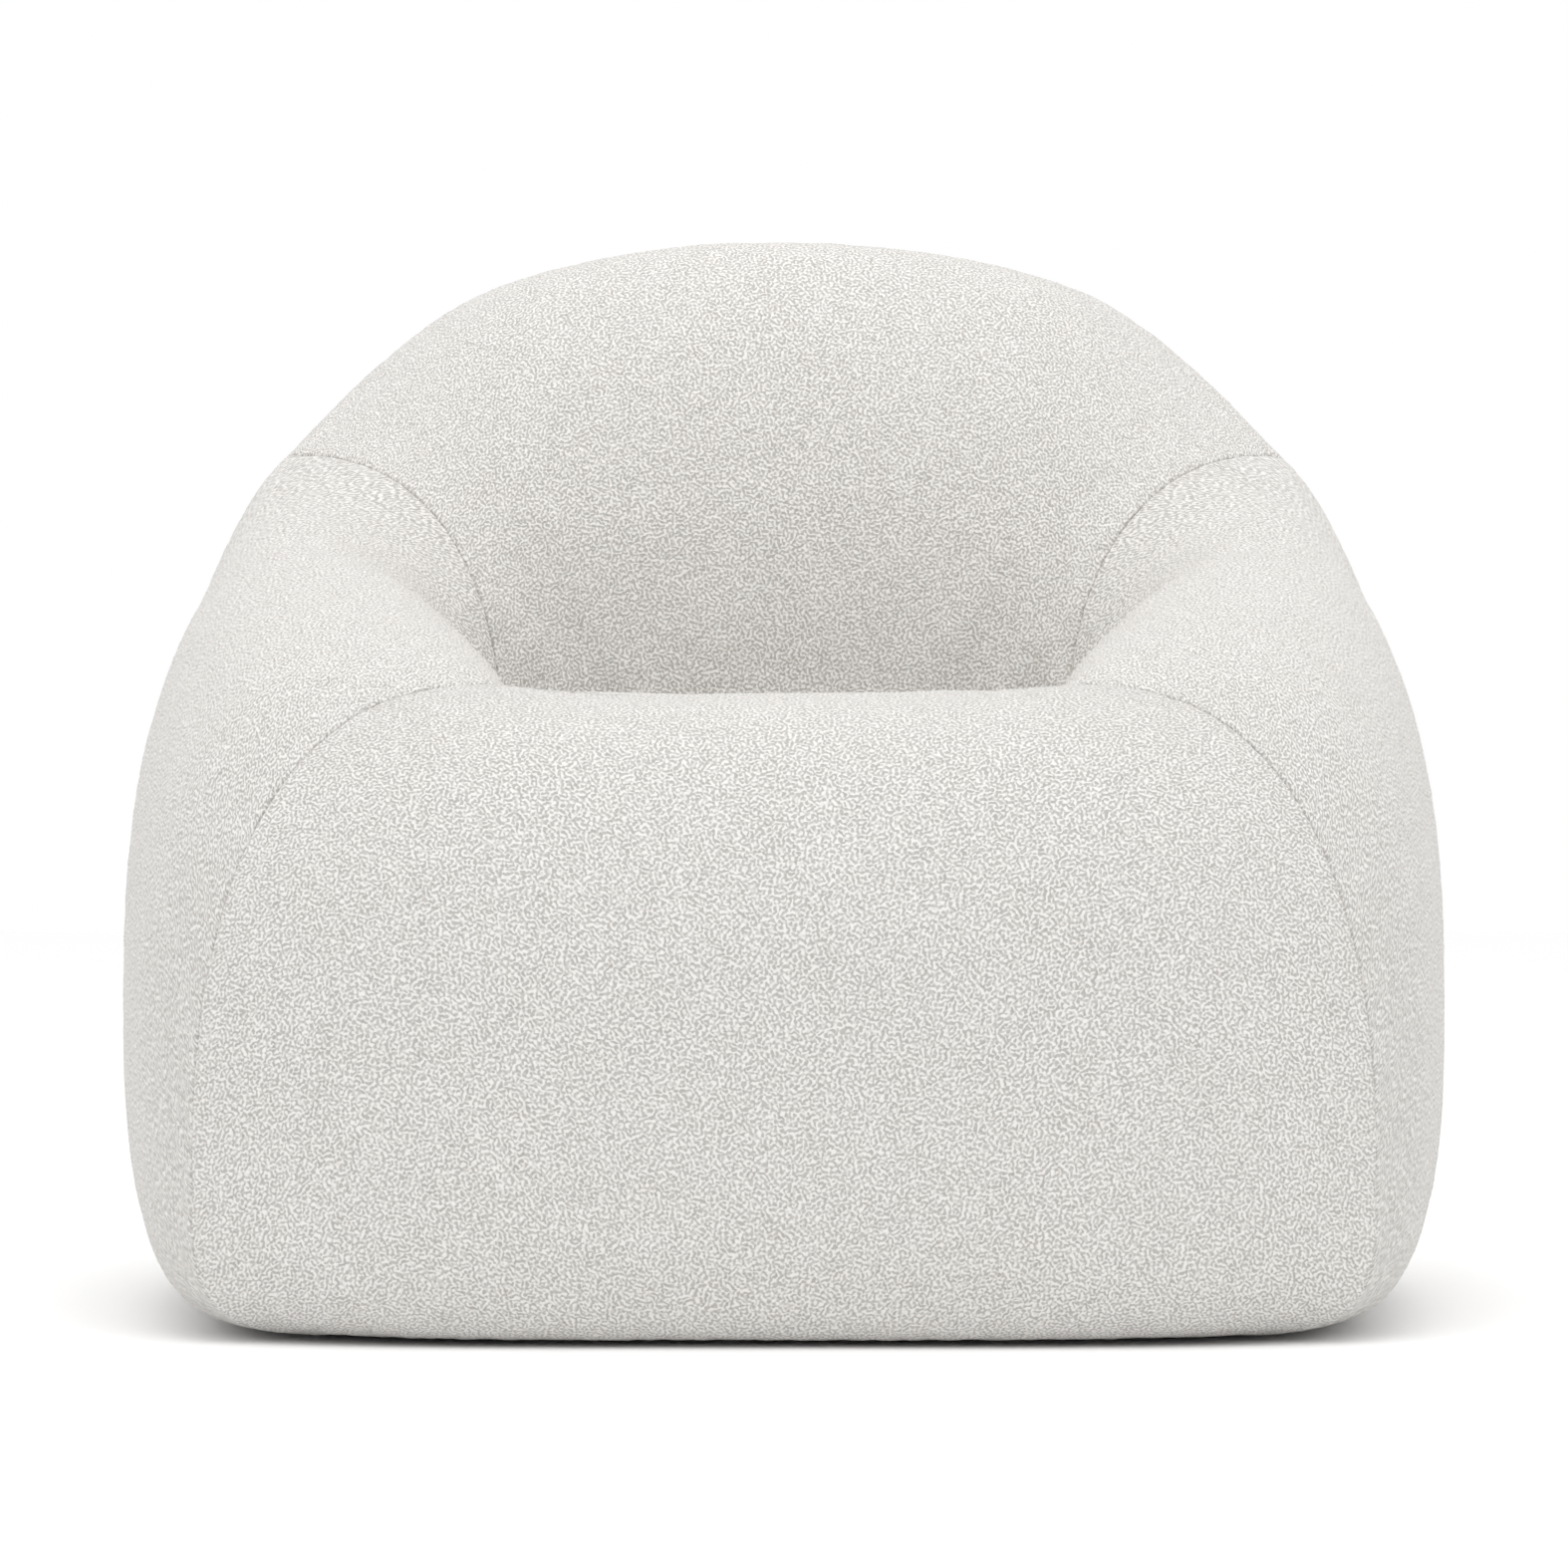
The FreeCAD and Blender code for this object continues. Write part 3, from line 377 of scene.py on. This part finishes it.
def boucle_material():
    """Off-white boucle: curled, looped yarn with painted shade in the thin gaps, a little uneven in
    tone.
    """
    mat, tree, shader = new_material("boucle", 0.95, Specular_IOR_Level=0.18, Sheen_Weight=0.25,
                                     Sheen_Roughness=0.5)
    shader.inputs["Sheen Tint"].default_value = (1.0, 0.98, 0.95, 1.0)
    place = object_place(tree)
    weave = node(tree, "ShaderNodeAttribute", attribute_name="weave").outputs["Vector"]
    warp = node(tree, "ShaderNodeTexNoise",
                {"Vector": place, "Scale": CURL_SCALE, "Detail": 1.0}).outputs["Color"]
    bend = node(tree, "ShaderNodeVectorMath", {0: warp, 1: (0.5, 0.5, 0.5)},
                operation="SUBTRACT").outputs[0]
    bend = node(tree, "ShaderNodeVectorMath", {0: bend, "Scale": CURL_REACH},
                operation="SCALE").outputs[0]
    curled = node(tree, "ShaderNodeVectorMath", {0: weave, 1: bend}, operation="ADD").outputs[0]
    strands = node(tree, "ShaderNodeTexGabor",
                   {"Vector": curled, "Scale": YARN_SCALE, "Frequency": YARN_WAVES,
                    "Anisotropy": 0.0}, gabor_type="2D").outputs["Value"]
    yarn = node(tree, "ShaderNodeMapRange",
                {"Value": strands, "From Min": YARN_EDGES[0], "From Max": YARN_EDGES[1]},
                interpolation_type="SMOOTHSTEP").outputs[0]
    fluff = noise(tree, place, FLUFF_SCALE, 2.0, 0.6)
    loops = noise(tree, place, LOOPS_SCALE, 1.0, 0.5)
    height = maths(tree, "ADD", maths(tree, "MULTIPLY", yarn, YARN_HEIGHT),
                   maths(tree, "MULTIPLY", fluff, FLUFF_HEIGHT))
    height = maths(tree, "ADD", height, maths(tree, "MULTIPLY", loops, LOOPS_HEIGHT))
    bump = node(tree, "ShaderNodeBump",
                {"Height": height, "Strength": BOUCLE_BUMP, "Distance": 1.0})
    tree.links.new(bump.outputs[0], shader.inputs["Normal"])
    # painted shade: the gaps between strands and the lower loops take the darker colour, as if
    # shaded
    tone = maths(tree, "ADD", maths(tree, "MULTIPLY", yarn, YARN_SHARE),
                 maths(tree, "MULTIPLY", loops, LOOPS_SHARE))
    colour = mixed(tree, tone, GAP_SHADE_TONE, YARN_TONE)
    patches = noise(tree, place, PATCH_SCALE, 3.0, 0.6)
    colour = mixed(tree, patches, colour, mixed(tree, 1.0, colour, PATCH_TONE, "MULTIPLY"))
    tree.links.new(colour, shader.inputs["Base Color"])
    return mat


GRAIN_EDGES = (0.36, 0.62)      # where the figure turns from dark to pale
PORES_FINER = (4, 6)            # how much finer than the figure: in stretch and in scale
PORES_SHARE = 0.45


def wood_material(name, pale, dark, grain, rings, roughness):
    """Grain drawn out along the longest way of the piece's place, with fine pores."""
    mat, tree, shader = new_material(name, roughness)
    place = object_place(tree, grain)
    figure = noise(tree, place, rings, 4.0, 0.6)
    fine_place = object_place(tree, tuple(g * PORES_FINER[0] for g in grain))
    pores = noise(tree, fine_place, rings * PORES_FINER[1], 2.0, 0.7)
    ramp = node(tree, "ShaderNodeValToRGB", {"Fac": figure})
    for stop, position, tone in zip(ramp.color_ramp.elements, GRAIN_EDGES, (dark, pale)):
        stop.position, stop.color = position, (*tone, 1.0)
    colour = mixed(tree, maths(tree, "MULTIPLY", pores, PORES_SHARE), ramp.outputs[0], dark)
    tree.links.new(colour, shader.inputs["Base Color"])
    bump = node(tree, "ShaderNodeBump", {"Height": pores, "Strength": 0.25, "Distance": 0.0004})
    tree.links.new(bump.outputs[0], shader.inputs["Normal"])
    return mat


DARKER, LIGHTER = 0.8, 1.3
SMUDGE_SCALE, SMUDGES = 220.0, 0.2      # patches of handled metal, and how much rougher they are


def metal_material(name, tone, roughness):
    mat, tree, shader = new_material(name, roughness, Metallic=1.0)
    patches = noise(tree, object_place(tree), SMUDGE_SCALE, 3.0)
    colour = mixed(tree, patches, tuple(t * DARKER for t in tone), tone)
    tree.links.new(colour, shader.inputs["Base Color"])
    rough = maths(tree, "MULTIPLY_ADD", patches, SMUDGES, roughness - SMUDGES / 2)
    tree.links.new(rough, shader.inputs["Roughness"])
    return mat


PRESSED_SCALE, PRESSED_SHARE = 0.9, 0.6     # flattened tufts among the fibres


def cloth_material(name, dark, pale, scale, roughness):
    """Pressed fibres, such as felt or the black cloth under a chair."""
    mat, tree, shader = new_material(name, roughness, Sheen_Weight=0.2)
    fibres = noise(tree, object_place(tree), scale, 5.0, 0.75)
    pressed = node(tree, "ShaderNodeTexVoronoi",
                   {"Vector": object_place(tree), "Scale": scale * PRESSED_SCALE},
                   feature="F1").outputs["Distance"]
    colour = mixed(tree, fibres, dark, pale)
    tree.links.new(colour, shader.inputs["Base Color"])
    height = maths(tree, "ADD", fibres, maths(tree, "MULTIPLY", pressed, PRESSED_SHARE))
    bump = node(tree, "ShaderNodeBump", {"Height": height, "Strength": 0.5, "Distance": 0.0004})
    tree.links.new(bump.outputs[0], shader.inputs["Normal"])
    return mat


def plastic_material(name, tone):
    mat, tree, shader = new_material(name, 0.5)
    grain = noise(tree, object_place(tree), 900.0, 3.0, 0.7)
    colour = mixed(tree, grain, tuple(t * DARKER for t in tone), tuple(t * LIGHTER for t in tone))
    tree.links.new(colour, shader.inputs["Base Color"])
    bump = node(tree, "ShaderNodeBump", {"Height": grain, "Strength": 0.3, "Distance": 0.0002})
    tree.links.new(bump.outputs[0], shader.inputs["Normal"])
    return mat


# ---------------------------------------------------------------- upholstery
SPACING = 3.6 * MM
NEAR = tuple(d * MM for d in (0.0, 0.5, 1.2, 2.2, 3.6, 5.4, 7.6, 10.4))   # rows beside a seam
SEAM_RADIUS, SEAM_DEPTH = 5.0 * MM, 2.9 * MM
EDGE_RADIUS, EDGE_DEPTH, SKIRT = 18.0 * MM, 15.0 * MM, 26.0 * MM
SEAT_SAG, SEAT_TILT = 8.0 * MM, 0.009       # the crown has settled a little, more to one side
SAG_SPREAD, SAG_FADE = 0.35, 150.0 * MM
FRONT_START, FRONT_BLEND = 0.84, 0.14       # the seat's rolled edge becomes a plain seam here
SKIRT_END, SKIRT_BLEND = 0.93, 0.08

LEAST_SWELL, MOST_SWELL = -1.5 * MM, 7.0 * MM
FIRMNESS, SWELL_BASE, SWELL_REACH = 0.6, 0.7, 70.0 * MM
VISIBLE = (0.3, 2.6)        # the stretch of a section that shows
# each kind of unevenness: its size, its amount, and what it adds to the panel's seed
WAVE = (110.0 * MM, 0.8 * MM, 0)
NUB = (8.5 * MM, 0.45 * MM, 10)
CURL = (12.5 * MM, 0.3 * MM, 20)
CURL_SHARPNESS, CURL_FLOOR = 3, -0.5
HAND = (45.0 * MM, 0.4 * MM, 30)
FINE_PULL = (10.0 * MM, 0.6 * MM, 40)
WIDE_PULL = (24.0 * MM, 0.75 * MM, 50)
PULL_REACH = 10.0 * MM      # how far from a seam the cloth puckers


def uneven(base, kind, seed):
    size, amount, shift = kind
    return gradient_noise(base / size, seed + shift) * amount


def shoulder(distance, radius, depth):
    """How far the cover dips beside a seam: a rounded shoulder down to the stitches."""
    left = 1 - np.clip(distance / radius, 0, 1)
    return depth * (1 - np.sqrt(np.maximum(1 - left * left, 0)))


def spline_weights(fine, coarse):
    """Weights that carry values at the coarse places over to the fine places on a smooth curve."""
    place = np.clip(np.interp(fine, coarse, np.arange(len(coarse))), 0, len(coarse) - 1.000001)
    i = place.astype(int)
    f = place - i
    weights = np.zeros((len(fine), len(coarse)))
    cubic = (-f / 2 + f * f - f ** 3 / 2, 1 - 2.5 * f * f + 1.5 * f ** 3,
             f / 2 + 2 * f * f - 1.5 * f ** 3, -f * f / 2 + f ** 3 / 2)
    for k, w in zip((-1, 0, 1, 2), cubic):
        np.add.at(weights, (np.arange(len(fine)), np.clip(i + k, 0, len(coarse) - 1)), w)
    return weights


def swell(point, across, along, towards, pin_along, seed):
    """Cloth simulation on a coarse grid: where its points lie, and how far each one moves."""
    us, ss = panel_grid(point, across, along, CLOTH_SPACING)
    base = point(us, ss)
    normals = outward(base, towards)
    base = base + normals * uneven(base, WAVE, seed)[..., None]
    held = np.zeros(base.shape[:2], bool)
    held[0] = held[-1] = held[:, 0] = held[:, -1] = True
    for low, high in pin_along:
        held[(ss >= low) & (ss <= high)] = True
    return us[:, 0], walked(base, 1), settle(base, normals, held)


def swollen(point, across, along, towards, pin_along, seed, us, run_along, normals):
    """How far the simulation moves each point of the fine grid outward."""
    coarse_us, coarse_run, move = swell(point, across, along, towards, pin_along, seed)
    over = spline_weights(us[:, 0], coarse_us)
    fine, coarse = (run.mean(0) / run[:, -1].mean() for run in (run_along, coarse_run))
    shift = np.einsum("ia,abk,jb->ijk", over, move, spline_weights(fine, coarse))
    return (shift * normals).sum(-1)


def panel(name, point, across, along, towards, seed, pin_along, edges, nodes):
    """One sewn panel of the cover."""
    us, ss = panel_grid(point, across, along, SPACING, NEAR, edges["near_along"])
    base = point(us, ss)
    normals = outward(base, towards)
    run_across, run_along = walked(base, 0), walked(base, 1)
    side = np.minimum(run_across, run_across[-1:] - run_across)
    out = np.zeros_like(side)
    out = swollen(point, across, along, towards, pin_along, seed, us, run_along, normals)
    shown = (ss > VISIBLE[0]) & (ss < VISIBLE[1]) & (side > SWELL_REACH)
    usual = np.median(out[shown]) * SWELL_BASE * smoothstep(side / SWELL_REACH)
    out = np.maximum(np.clip(out, LEAST_SWELL, MOST_SWELL) - usual, LEAST_SWELL) * FIRMNESS
    size, amount, shift = CURL
    ridge = 1 - np.abs(gradient_noise(base / size, seed + shift)) * CURL_SHARPNESS
    curl = np.clip(ridge, CURL_FLOOR, 1) * amount
    relief = uneven(base, NUB, seed) + curl + uneven(base, HAND, seed)
    pull = uneven(base, FINE_PULL, seed) + uneven(base, WIDE_PULL, seed)
    dip = edges["dip"](ss, side, run_along, base)
    points = base + normals * (out - dip + relief + pull * np.exp(-side / PULL_REACH))[..., None]
    points = edges["skirt"](points, ss)
    obj = grid_object(name, points, faces_inward(base, normals))
    obj.data.shade_smooth()
    obj.data.materials.append(boucle)
    weave = obj.data.attributes.new("weave", "FLOAT_VECTOR", "POINT")
    weave.data.foreach_set("vector", weave_places(edges["skirt"](base, ss)).ravel())
    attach(obj, "root")
    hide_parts(*nodes)


def ring_dip(ss, side, run_along, base):
    return shoulder(side, SEAM_RADIUS, SEAM_DEPTH)


def plain_skirt(points, ss):
    return points


def seat_dip(ss, side, run_along, base):
    """On the seat the edges roll down beside the arms and back. In front they are plain seams."""
    front = smoothstep((ss - FRONT_START) / FRONT_BLEND)
    soft = np.minimum(side, run_along)
    roll = shoulder(soft, EDGE_RADIUS, EDGE_DEPTH)
    sag = (SEAT_SAG - SEAT_TILT * base[..., 0]) * np.exp(-((ss - 1) / SAG_SPREAD) ** 2)
    seam = shoulder(side, SEAM_RADIUS, SEAM_DEPTH)
    return roll * (1 - front) + seam * front + sag * smoothstep(soft / SAG_FADE)


def seat_skirt(points, ss):
    """Beside the seat the cover goes on down out of sight."""
    depth = SKIRT * (1 - smoothstep((ss - SKIRT_END) / SKIRT_BLEND))
    drop = depth[..., None] * np.array([0, 0, 1.0])
    left, right = points[:1] - drop[:1], points[-1:] - drop[-1:]
    points = np.concatenate([left, points, right], 0)
    rear = points[:, :1] - np.array([0, 0, SKIRT])
    return np.concatenate([rear, points], 1)


boucle = boucle_material()
RING_ALONG, FRONT_ALONG = (-0.35, 4.0), (0.0, 4.0)
# pinned stretches of the section: under the base, and beside the seat
UNDER, BESIDE = (2.9, 4.0), (-1.0, -0.1)
ring_edges = {"dip": ring_dip, "skirt": plain_skirt, "near_along": ()}
seat_edges = {"dip": seat_dip, "skirt": seat_skirt, "near_along": NEAR}

panel("back_panel", ring_point, (-BACK_SEAM, BACK_SEAM), RING_ALONG,
      (0.7, (0.0, 1.0, 0.0)), 1, [BESIDE, UNDER], ring_edges,
      ("back_cover", "back_wadding", "back_inside_foam", "back_outside_foam"))
for side_name, side, seed in (("left", -1.0, 2), ("right", 1.0, 3)):
    panel(side_name + "_arm_panel", functools.partial(ring_point, side=side),
          (BACK_SEAM, FRONT_SEAM), RING_ALONG,
          (0.7, (side, 0.0, 0.0)), seed, [BESIDE, UNDER], ring_edges,
          [side_name + "_arm_" + layer for layer in ("cover", "wadding", "foam")])
panel("seat_front_panel", front_point, (-1.0, 1.0), FRONT_ALONG,
      (0.6, (0.0, -1.0, 0.0)), 4, [UNDER], seat_edges,
      ("seat_front_cover", "seat_front_wadding", "front_foam", "seat_foam"))

# ---------------------------------------------------------------- frame, springs and underside
materials = {
    "hardboard": wood_material("hardboard", (0.26, 0.16, 0.09), (0.15, 0.09, 0.05),
                               (1.0, 1.0, 1.0), 60.0, 0.8),
    "plywood": wood_material("plywood", (0.62, 0.45, 0.26), (0.42, 0.27, 0.14),
                             (1.0, 1.0, 0.12), 45.0, 0.7),
    "beech": wood_material("beech", (0.58, 0.37, 0.22), (0.43, 0.25, 0.13),
                           (1.0, 0.12, 1.0), 70.0, 0.6),
    "spring_steel": metal_material("spring_steel", (0.16, 0.16, 0.17), 0.45),
    "felt": cloth_material("felt", (0.26, 0.25, 0.23), (0.40, 0.38, 0.36), 500.0, 0.95),
    "glide": plastic_material("glide", (0.018, 0.018, 0.02)),
    "dust_cloth": cloth_material("dust_cloth", (0.008, 0.008, 0.009), (0.035, 0.035, 0.038),
                                 700.0, 0.9),
    "fastener_steel": metal_material("fastener_steel", (0.55, 0.55, 0.57), 0.35),
}
slots = {row["node"]: row["material_slot"] for row in frame["record"]["subparts"]}
for name, obj in frame["nodes"].items():
    if slots[name] in materials:
        for place in obj.material_slots:
            place.material = materials[slots[name]]

# ---------------------------------------------------------------- studio
FLOOR_REACH, FLOOR_TONE = 8, (0.985, 0.985, 0.985, 1.0)
floor_mesh = bpy.data.meshes.new("floor")
floor_mesh.from_pydata([(x * FLOOR_REACH, y * FLOOR_REACH, 0)
                        for x, y in ((-1, -1), (1, -1), (1, 1), (-1, 1))], [], [(0, 1, 2, 3)])
floor = bpy.data.objects.new("floor", floor_mesh)
scene.collection.objects.link(floor)
floor_material, _, floor_shader = new_material("studio_floor", 0.9, Specular_IOR_Level=0.1)
floor_shader.inputs["Base Color"].default_value = FLOOR_TONE
floor.data.materials.append(floor_material)

world = bpy.data.worlds.new("studio")
scene.world = world
world.use_nodes = True
world.node_tree.nodes["Background"].inputs["Color"].default_value = (1.0, 1.0, 1.0, 1.0)
world.node_tree.nodes["Background"].inputs["Strength"].default_value = 1.0


def soft_light(name, place, aim, size, power):
    data = bpy.data.lights.new(name, "AREA")
    data.shape, data.size, data.energy = "DISK", size, power
    obj = bpy.data.objects.new(name, data)
    obj.location = place
    obj.rotation_euler = (Vector(aim) - Vector(place)).to_track_quat("-Z", "Y").to_euler()
    scene.collection.objects.link(obj)


soft_light("overhead", (0.0, -0.9, 3.15), (0.0, 0.0, 0.35), 3.0, 40.0)

# a long lens (in millimetres) at seat height, level with the floor
SENSOR, LENS, LENS_SHIFT = 36.0, 147.6, -0.0476
CAMERA_PLACE = (0.0, -4.95, 0.45)
camera_data = bpy.data.cameras.new("camera")
camera_data.sensor_width = SENSOR
camera_data.lens = LENS
camera_data.shift_y = LENS_SHIFT
camera = bpy.data.objects.new("camera", camera_data)
camera.location = CAMERA_PLACE
camera.rotation_euler = (math.pi / 2, 0.0, 0.0)
scene.collection.objects.link(camera)
scene.camera = camera
scene.view_settings.view_transform = "Standard"
